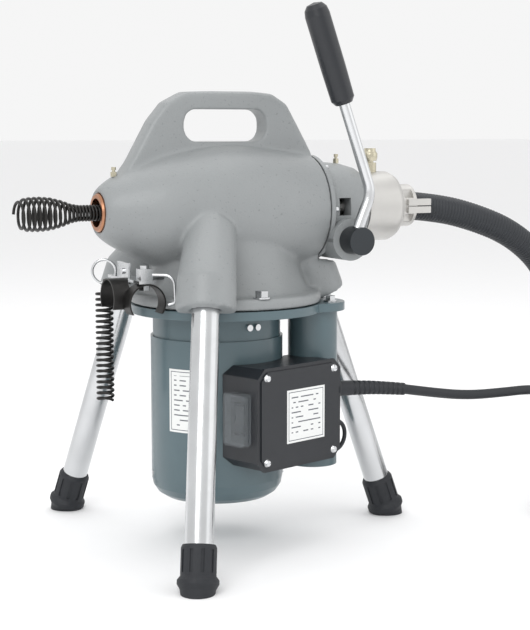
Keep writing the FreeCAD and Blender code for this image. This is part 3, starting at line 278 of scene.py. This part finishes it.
def surface(name, colour, rough, metallic=0.0, coat=0.0, grain=900.0, bump=0.05, vary=0.12):
    """A finish with cloudy shade, uneven gloss and fine grain."""
    made = Finish(name)
    cloud = made.noise(22.0)
    low = tuple(c * (1 - vary) for c in colour)
    high = tuple(min(1.0, c * (1 + vary)) for c in colour)
    made.send(made.mix(cloud, low, high), "Base Color")
    made.send(made.noise(140.0) * 0.16 + (rough - 0.08), "Roughness")
    made.fixed(Metallic=metallic, Coat_Weight=coat, Coat_Roughness=0.18)
    if bump:
        made.send(made.node("ShaderNodeBump", Height=made.noise(grain, 4.0), Strength=bump,
                            Distance=0.001), "Normal")
    return made


def cast_finish(name, colour):
    """Fine cast enamel with a darker line where the two castings part."""
    made = surface(name, colour, 0.43, coat=0.10, grain=520, bump=0.42, vary=0.06)
    parts = made.tree.nodes.new("ShaderNodeSeparateXYZ")
    made.tree.links.new(made.place.socket, parts.inputs[0])
    along, high = (Wire(made.tree, parts.outputs[k]) for k in (0, 2))
    seam = ((along - SEAM_AT).maths("ABSOLUTE") < SEAM_HALF) * (high > SEAM_LOWEST)
    speck = (made.noise(330.0, 2.0) > 0.69) * 0.35
    paint = made.mix(made.noise(22.0), tuple(0.94 * c for c in colour),
                     tuple(1.06 * c for c in colour))
    marked = made.mix(speck.maths("MAXIMUM", seam * 0.75), paint, tuple(0.45 * c for c in colour))
    made.send(marked, "Base Color")
    return made


def label_finish(name):
    """White film with a thin border and rows of short bars, on the lid and on the motor."""
    made = surface(name, LABEL_WHITE, 0.42, bump=0.01, vary=0.03)
    parts = made.tree.nodes.new("ShaderNodeSeparateXYZ")
    made.tree.links.new(made.place.socket, parts.inputs[0])
    x, y, z = (Wire(made.tree, socket) for socket in parts.outputs)
    lid_u = x * math.cos(BOX_TURN) + y * math.sin(BOX_TURN)
    motor_u = y.maths("ARCTAN2", x) * MOTOR_WALL
    on_motor = x < MOTOR_SIDE
    u = on_motor * motor_u + (1.0 - on_motor) * lid_u
    left, right, low, high = (
        on_motor * motor + (1.0 - on_motor) * lid for motor, lid in zip(MOTOR_LABEL, LID_LABEL))
    edge = (u - left).maths("MINIMUM", right - u).maths(
        "MINIMUM", (z - low).maths("MINIMUM", high - z))
    border = (edge > 0.0022) * (edge < 0.0030)
    row = (z * BAR_ROWS).maths("FRACT")
    cell = made.node("ShaderNodeCombineXYZ", X=(u * BAR_CELLS).maths("FLOOR"),
                     Y=(z * BAR_ROWS).maths("FLOOR"), Z=0.0)
    dots = made.node("ShaderNodeTexWhiteNoise", settings={"noise_dimensions": "3D"}, Vector=cell)
    bars = (row > 0.36) * (row < 0.60) * (dots > 0.30) * (edge > 0.0065)
    ink = border.maths("MAXIMUM", bars)
    made.send(made.mix(ink, LABEL_WHITE, LABEL_INK), "Base Color")
    return made


def build_finishes(colours):
    """Every slot's material by its name in the record."""
    cast, motor, black = tuple(colours.casting), tuple(colours.motor), tuple(colours.black)
    made = {
        "cast_grey": cast_finish("cast_grey", cast),
        "motor_paint": surface("motor_paint", motor, 0.34, coat=0.30, grain=420, bump=0.07),
        "bronze": surface("bronze", (0.44, 0.22, 0.13), 0.34, 1.0),
        "bearing_steel": surface("bearing_steel", (0.55, 0.55, 0.54), 0.25, 1.0),
        "machined_steel": surface("machined_steel", (0.45, 0.45, 0.45), 0.32, 1.0),
        "core_iron": surface("core_iron", (0.25, 0.25, 0.27), 0.5, 0.8),
        "oiled_steel": surface("oiled_steel", (0.045, 0.050, 0.055), 0.34, 0.7),
        "bright_steel": surface("bright_steel", (0.66, 0.67, 0.68), 0.22, 1.0, grain=500,
                                bump=0.03),
        "zinc_tube": surface("zinc_tube", (0.62, 0.63, 0.64), 0.22, 1.0, grain=260, bump=0.03,
                             vary=0.16),
        "grip_plastic": surface("grip_plastic", black, 0.36, coat=0.1, bump=0.06),
        "bare_aluminium": surface("bare_aluminium", (0.58, 0.57, 0.55), 0.42, 0.9, bump=0.12),
        "plated_brass": surface("plated_brass", (0.56, 0.52, 0.40), 0.28, 1.0),
        "foot_rubber": surface("foot_rubber", black, 0.62, bump=0.12),
        "box_plastic": surface("box_plastic", black, 0.42, coat=0.05, bump=0.10),
        "plate_white": label_finish("plate_white"),
        "spring_steel": surface("spring_steel", (0.030, 0.029, 0.028), 0.38, 0.75, bump=0.10),
        "motor_bearing_steel": surface("motor_bearing_steel", (0.55, 0.55, 0.54), 0.25, 1.0),
        "fan_plastic": surface("fan_plastic", (0.04, 0.04, 0.04), 0.5),
        "can_aluminium": surface("can_aluminium", (0.66, 0.66, 0.66), 0.35, 1.0),
        "cord_rubber": surface("cord_rubber", black, 0.52, bump=0.06),
        "hose_rubber": surface("hose_rubber", (0.016, 0.019, 0.024), 0.46, bump=0.05),
    }
    clear = Finish("clear_cover")
    clear.fixed(Base_Color=(0.30, 0.33, 0.35, 1.0), Roughness=0.10, Alpha=0.20, IOR=1.45)
    made["clear_cover"] = clear
    return {name: finish.material for name, finish in made.items()}


# ---------------------------------------------------------------- shapes

def mesh_object(name, verts, faces, slot_name):
    """A smooth mesh of whole arrays, with its slot's finish."""
    mesh = bpy.data.meshes.new(name)
    mesh.from_pydata(verts.tolist(), [], faces)
    mesh.validate()
    mesh.shade_smooth()
    made = bpy.data.objects.new(name, mesh)
    bpy.context.scene.collection.objects.link(made)
    mesh.materials.append(MADE["finishes"][slot_name])
    return made


def sweep(points, radii, reference, sides):
    """A closed tube. With tangent T, side S = T x reference and lift L = S x T, the surface is
    P + radius (S cos a + L sin a), closed by a fan at each end."""
    tangent = np.gradient(points, axis=0)
    tangent /= np.linalg.norm(tangent, axis=1, keepdims=True)
    side = np.cross(tangent, reference)
    side /= np.linalg.norm(side, axis=1, keepdims=True)
    lift = np.cross(side, tangent)
    angle = np.linspace(0, 2 * math.pi, sides, endpoint=False)
    ring = (side[:, None] * np.cos(angle)[None, :, None]
            + lift[:, None] * np.sin(angle)[None, :, None])
    verts = (points[:, None] + ring * np.asarray(radii)[:, None, None]).reshape(-1, 3)
    verts = np.vstack([verts, points[:1], points[-1:]])
    count = len(points)
    row, col = np.meshgrid(np.arange(count - 1), np.arange(sides), indexing="ij")
    after = (col + 1) % sides
    quads = np.stack([row * sides + col, (row + 1) * sides + col, (row + 1) * sides + after,
                      row * sides + after], -1).reshape(-1, 4)
    edge = np.arange(sides)
    following = (edge + 1) % sides
    start = np.stack([np.full(sides, count * sides), edge, following], -1)
    last = (count - 1) * sides
    end = np.stack([np.full(sides, count * sides + 1), last + following, last + edge], -1)
    return verts, quads.tolist() + start.tolist() + end.tolist()


def nurbs_line(name, points):
    """A smooth curve object through the neighbourhood of its control points."""
    curve = bpy.data.curves.new(name, "CURVE")
    curve.dimensions = "3D"
    curve.resolution_u = 8
    line = curve.splines.new("NURBS")
    line.points.add(len(points) - 1)
    flat = np.column_stack([points, np.ones(len(points))]).astype(np.float32)
    line.points.foreach_set("co", flat.ravel())
    line.order_u = 3
    line.use_endpoint_u = True
    made = bpy.data.objects.new(name, curve)
    bpy.context.scene.collection.objects.link(made)
    return made


def line_points(line, step):
    """Evenly spaced points of a curve, read from its evaluated mesh, and its length."""
    graph = bpy.context.evaluated_depsgraph_get()
    mesh = bpy.data.meshes.new_from_object(line.evaluated_get(graph))
    raw = np.zeros(len(mesh.vertices) * 3, np.float32)
    mesh.vertices.foreach_get("co", raw)
    bpy.data.meshes.remove(mesh)
    raw = raw.reshape(-1, 3).astype(float)
    run = np.concatenate([[0], np.cumsum(np.linalg.norm(np.diff(raw, axis=0), axis=1))])
    even = np.linspace(0, run[-1], int(run[-1] / step) + 1)
    return np.column_stack([np.interp(even, run, raw[:, k]) for k in range(3)]), even


def coil_points(centre, radii, heights, degrees):
    """Control points of a coil: P = centre + r (cos a, sin a) at each height."""
    turn = np.radians(degrees)
    return np.column_stack([centre[0] + radii * np.cos(turn), centre[1] + radii * np.sin(turn),
                            heights])


def helix(along, radius, turns_angle, origin, axis, across, third):
    """A coil's centreline: P = origin + axis d + r (across cos a + third sin a)."""
    return (np.asarray(origin) + np.outer(along, axis)
            + np.outer(radius * np.cos(turns_angle), across)
            + np.outer(radius * np.sin(turns_angle), third))


def hose_route():
    """The listed route, then a loop flat on the floor that closes in as it turns:
    radius = first radius - closing x turns."""
    swing = np.arange(1, HOSE_LOOP_POINTS + 1) * (HOSE_LOOP_SWEEP / HOSE_LOOP_POINTS)
    loop = coil_points(HOSE_LOOP_AT, HOSE_LOOP_RADIUS - HOSE_LOOP_CLOSING * swing / 360,
                       np.full(HOSE_LOOP_POINTS, HOSE_LIES_AT), HOSE_LOOP_START - swing)
    return np.vstack([HOSE, loop]) / 1000


def hose_shape(path, run, rib):
    """A tube whose radius dips by rib depth x w x w, with w = 1/2 + 1/2 cos(2 pi run / rib)."""
    wave = 0.5 + 0.5 * np.cos(2 * math.pi * run / rib)
    return sweep(path, HOSE_RADIUS - RIB_DEPTH * wave**2, UP, 18)


def cord_route():
    """The listed route, then a coil. Early in each turn the radius eases from the last
    turn's to its own by e e (3 - 2 e), with e from 0 to 1, and the height climbs a layer at
    each layer turn and by the same easing at the last rise."""
    angle = np.arange(CORD_COIL_STEP, CORD_COIL_END, CORD_COIL_STEP)
    turn = angle / 360
    whole = np.floor(turn).astype(int)
    ease = np.clip((turn - whole) / CORD_CHANGE, 0, 1)
    ease = ease * ease * (3 - 2 * ease)
    before = np.where(whole > 0, CORD_RADII[np.maximum(whole - 1, 0)], CORD_FIRST_RADIUS)
    radii = before + (CORD_RADII[whole] - before) * ease
    lift = sum(np.clip((turn - start) / LAYER_CHANGE, 0, 1) for start in LAYER_TURNS)
    rise = np.clip((turn - LAST_RISE_TURN) / LAST_RISE_CHANGE, 0, 1)
    heights = CORD_LIES_AT + CORD_LAYER * lift + CORD_LAST_RISE * rise * rise * (3 - 2 * rise)
    loop = coil_points(CORD_COIL_AT, radii, heights, CORD_COIL_START - angle)
    return np.vstack([CORD, loop]) / 1000


def relief_shape():
    """A sleeve that narrows evenly along its run. Past its plain part, grooves are cut
    groove x (cos(2 pi run / pitch) - 0.2) deep wherever that is above nothing."""
    bend = nurbs_line("sleeve_line", np.array(SLEEVE) / 1000)
    path, run = line_points(bend, 0.0006)
    bpy.data.objects.remove(bend)
    taper = RELIEF_RADIUS - RELIEF_TAPER * run / run[-1]
    groove = np.clip(np.cos(2 * math.pi * run / RELIEF_PITCH) - 0.2, 0, 1) * RELIEF_GROOVE
    return sweep(path, taper - groove * (run > RELIEF_PLAIN), UP, 28)


def gland_shape():
    """A short round nut with eased ends, standing out from the switch box's side."""
    out = np.array([math.cos(BOX_TURN), math.sin(BOX_TURN), 0.0])
    base = np.array([GLAND_FACE * math.cos(BOX_TURN) + GLAND_NEAR * math.sin(BOX_TURN),
                     GLAND_FACE * math.sin(BOX_TURN) - GLAND_NEAR * math.cos(BOX_TURN),
                     GLAND_HIGH])
    return sweep(base + np.outer(GLAND_DEPTHS, out), GLAND_RADII, UP, 40)


def cable_shape(wire):
    """One wound wire: it moves on along X by the pitch of that place for each turn, at the
    outside radius of that place less the wire's own radius."""
    dense = np.linspace(CABLE_FROM, CABLE_TO, 12000)
    outer = np.interp(dense, BULB_AT, BULB_RADII)
    pitch = np.interp(dense, PITCH_AT, PITCHES)
    angle = np.concatenate([[0], np.cumsum(np.diff(dense) / pitch[1:])]) * 2 * math.pi
    even = np.linspace(0, angle[-1], int(angle[-1] / (2 * math.pi) * 22))
    along = np.interp(even, angle, dense)
    radius = np.interp(along, dense, outer) - wire
    path = helix(along, radius, even, (0, 0, SPINDLE_HIGH), ALONG, (0, 1, 0), UP)
    return sweep(path, np.full(len(path), wire), ALONG, 8)


def spare_shape(wire):
    """An upright coil of even pitch and radius."""
    angle = np.linspace(0, 2 * math.pi * SPARE_TURNS, SPARE_TURNS * 26)
    along = np.linspace(SPARE_LOW, SPARE_HIGH, len(angle))
    path = helix(along, np.full(len(angle), SPARE_RADIUS - wire), angle, (*HANGER_AT, 0), UP,
                 (1, 0, 0), (0, 1, 0))
    return sweep(path, np.full(len(path), wire), UP, 8)


def hook_shape():
    """A wire bent almost into a full circle, which hangs on the ring."""
    turn = np.linspace(-0.5 * math.pi, 1.42 * math.pi, HOOK_POINTS)
    path = helix(np.zeros(HOOK_POINTS), HOOK_RADIUS, turn, (*HANGER_AT, HOOK_HIGH), HANGER_PIN,
                 (0.4206, 0.9072, 0), UP)
    return sweep(path, np.full(HOOK_POINTS, HOOK_WIRE), HANGER_PIN, 8)


def softened(node, width):
    """A merged copy of a CAD piece with rounded edges, which stands for it."""
    source = FRAME["nodes"][node]
    made = bpy.data.objects.new(node + "_soft", source.data.copy())
    bpy.context.scene.collection.objects.link(made)
    weld = made.modifiers.new("weld", "WELD")
    weld.merge_threshold = 0.00002
    edge = made.modifiers.new("edge", "BEVEL")
    edge.width = width
    edge.segments = 2
    edge.limit_method = "ANGLE"
    edge.angle_limit = math.radians(40)
    made.modifiers.new("normals", "WEIGHTED_NORMAL")
    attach(made, source["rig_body"])
    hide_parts(node)
    return made


# ---------------------------------------------------------------- operators

class StageOperator(bpy.types.Operator):
    """Sets the camera, the soft lights and the pale floor."""

    bl_idname = "drain.stage"
    bl_label = "Stage"

    def execute(self, context):
        sizes = context.scene.drain_sizes
        camera = bpy.data.objects.new("camera", bpy.data.cameras.new("camera"))
        context.scene.collection.objects.link(camera)
        camera.data.lens = LENS
        camera.data.sensor_width = 36.0
        camera.location = CAMERA_AT
        ahead = VIEW_AHEAD * VIEW_REACH + VIEW_ACROSS * VIEW_SHIFT
        ahead.z = -VIEW_FALL * ahead.length
        camera.rotation_euler = ahead.to_track_quat("-Z", "Y").to_euler()
        context.scene.camera = camera
        for name, power, size, spot in LAMPS:
            lamp = bpy.data.lights.new(name, "AREA")
            lamp.energy = power
            lamp.size = size
            holder = bpy.data.objects.new(name, lamp)
            context.scene.collection.objects.link(holder)
            holder.location = spot
            towards = Vector((0, 0, 0.25)) - Vector(spot)
            holder.rotation_euler = towards.to_track_quat("-Z", "Y").to_euler()
        world = bpy.data.worlds.new("soft_room")
        world.use_nodes = True
        sky = world.node_tree.nodes["Background"]
        sky.inputs["Color"].default_value = (1.0, 1.0, 1.0, 1.0)
        sky.inputs["Strength"].default_value = 0.92
        context.scene.world = world
        context.scene.view_settings.view_transform = "Standard"
        half = sizes.floor
        corners = np.array([[-half, -half, 0], [half, -half, 0], [half, half, 0], [-half, half, 0]])
        mesh = bpy.data.meshes.new("floor")
        mesh.from_pydata(corners.tolist(), [], [(0, 1, 2, 3)])
        floor = bpy.data.objects.new("floor", mesh)
        context.scene.collection.objects.link(floor)
        mesh.materials.append(surface("floor", (0.93, 0.93, 0.935), 0.7, bump=0.0,
                                      vary=0.01).material)
        return {"FINISHED"}


class CordsOperator(bpy.types.Operator):
    """Lays the guide hose and the power cord."""

    bl_idname = "drain.cords"
    bl_label = "Cords"

    def execute(self, context):
        sizes = context.scene.drain_sizes
        line = nurbs_line("hose_line", hose_route())
        path, run = line_points(line, sizes.hose_rib / 5)
        bpy.data.objects.remove(line)
        hose = mesh_object("ribbed_hose", *hose_shape(path, run, sizes.hose_rib), "hose_rubber")
        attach(hose, "machine")
        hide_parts("guide_hose", "hose_coil")

        power = nurbs_line("cord_line", cord_route())
        path, run = line_points(power, 0.002)
        power.data.bevel_depth = 0.0055
        power.data.bevel_resolution = 4
        power.data.use_fill_caps = True
        power.data.materials.append(MADE["finishes"]["cord_rubber"])
        power.name = "mains_cord"
        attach(power, "machine")
        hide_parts("power_cord", "cord_coil")

        relief = mesh_object("ribbed_relief", *relief_shape(), "cord_rubber")
        nut = mesh_object("gland_nut", *gland_shape(), "cord_rubber")
        for piece in (relief, nut):
            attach(piece, "machine")
        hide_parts("cord_strain_relief")
        return {"FINISHED"}


class FinishesOperator(bpy.types.Operator):
    """Makes every finish and gives each CAD piece its own."""

    bl_idname = "drain.finishes"
    bl_label = "Finishes"

    def execute(self, context):
        MADE["finishes"] = build_finishes(context.scene.drain_colours)
        MADE["slots"] = {part["node"]: part["material_slot"]
                         for part in FRAME["record"]["subparts"]}
        for name, node in FRAME["nodes"].items():
            node.data.materials.clear()
            node.data.materials.append(MADE["finishes"][MADE["slots"][name]])
        return {"FINISHED"}


class CastingOperator(bpy.types.Operator):
    """Blends the main casting's joints into soft cast fillets."""

    bl_idname = "drain.casting"
    bl_label = "Casting"

    def execute(self, context):
        source = FRAME["nodes"]["main_housing"]
        made = bpy.data.objects.new("soft_casting", source.data.copy())
        context.scene.collection.objects.link(made)
        cells = made.modifiers.new("cells", "REMESH")
        cells.mode = "VOXEL"
        cells.voxel_size = context.scene.drain_sizes.voxel
        cells.use_smooth_shade = True
        ease = made.modifiers.new("ease", "SMOOTH")
        ease.factor = 0.5
        ease.iterations = 9
        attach(made, "machine")
        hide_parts("main_housing")
        return {"FINISHED"}


class AugersOperator(bpy.types.Operator):
    """Winds the drain cable with its bulb end, and the spare auger on its hook."""

    bl_idname = "drain.augers"
    bl_label = "Augers"

    def execute(self, context):
        wire = context.scene.drain_sizes.auger_wire
        cable = mesh_object("wound_cable", *cable_shape(wire), "spring_steel")
        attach(cable, "spindle")
        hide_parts("drain_cable")

        spare = mesh_object("wound_spare", *spare_shape(wire), "spring_steel")
        eye = mesh_object("spare_hook", *hook_shape(), "spring_steel")
        for piece in (spare, eye):
            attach(piece, "hanging_tool")
        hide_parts("spare_auger")
        return {"FINISHED"}


class TrimOperator(bpy.types.Operator):
    """Rounds the edges of the plain machined and moulded pieces."""

    bl_idname = "drain.trim"
    bl_label = "Trim"

    def execute(self, context):
        for node, width in ROUNDED:
            softened(node, width)
        return {"FINISHED"}


OPERATORS = (StageOperator, FinishesOperator, CordsOperator, CastingOperator, AugersOperator,
             TrimOperator)


class MachinePanel(bpy.types.Panel):
    """The sizes, the colours and a button for each group."""

    bl_idname = "VIEW3D_PT_drain"
    bl_label = "Drain machine"
    bl_space_type = "VIEW_3D"
    bl_region_type = "UI"
    bl_category = "Drain machine"

    def draw(self, context):
        for group in (context.scene.drain_sizes, context.scene.drain_colours):
            for word in group.__annotations__:
                self.layout.prop(group, word)
        for operator in OPERATORS:
            self.layout.operator(operator.bl_idname)


CLASSES = (MachineSizes, MachineColours, *OPERATORS, MachinePanel)


def register():
    """Makes the classes and the scene's settings known."""
    for item in CLASSES:
        bpy.utils.register_class(item)
    bpy.types.Scene.drain_sizes = bpy.props.PointerProperty(type=MachineSizes)
    bpy.types.Scene.drain_colours = bpy.props.PointerProperty(type=MachineColours)


def unregister():
    """Takes them away again."""
    del bpy.types.Scene.drain_sizes
    del bpy.types.Scene.drain_colours
    for item in reversed(CLASSES):
        bpy.utils.unregister_class(item)


def main():
    """Builds everything in order."""
    register()
    bpy.ops.drain.stage()
    bpy.ops.drain.finishes()
    bpy.ops.drain.trim()
    bpy.ops.drain.cords()
    bpy.ops.drain.casting()
    bpy.ops.drain.augers()


if __name__ == "__main__":
    main()
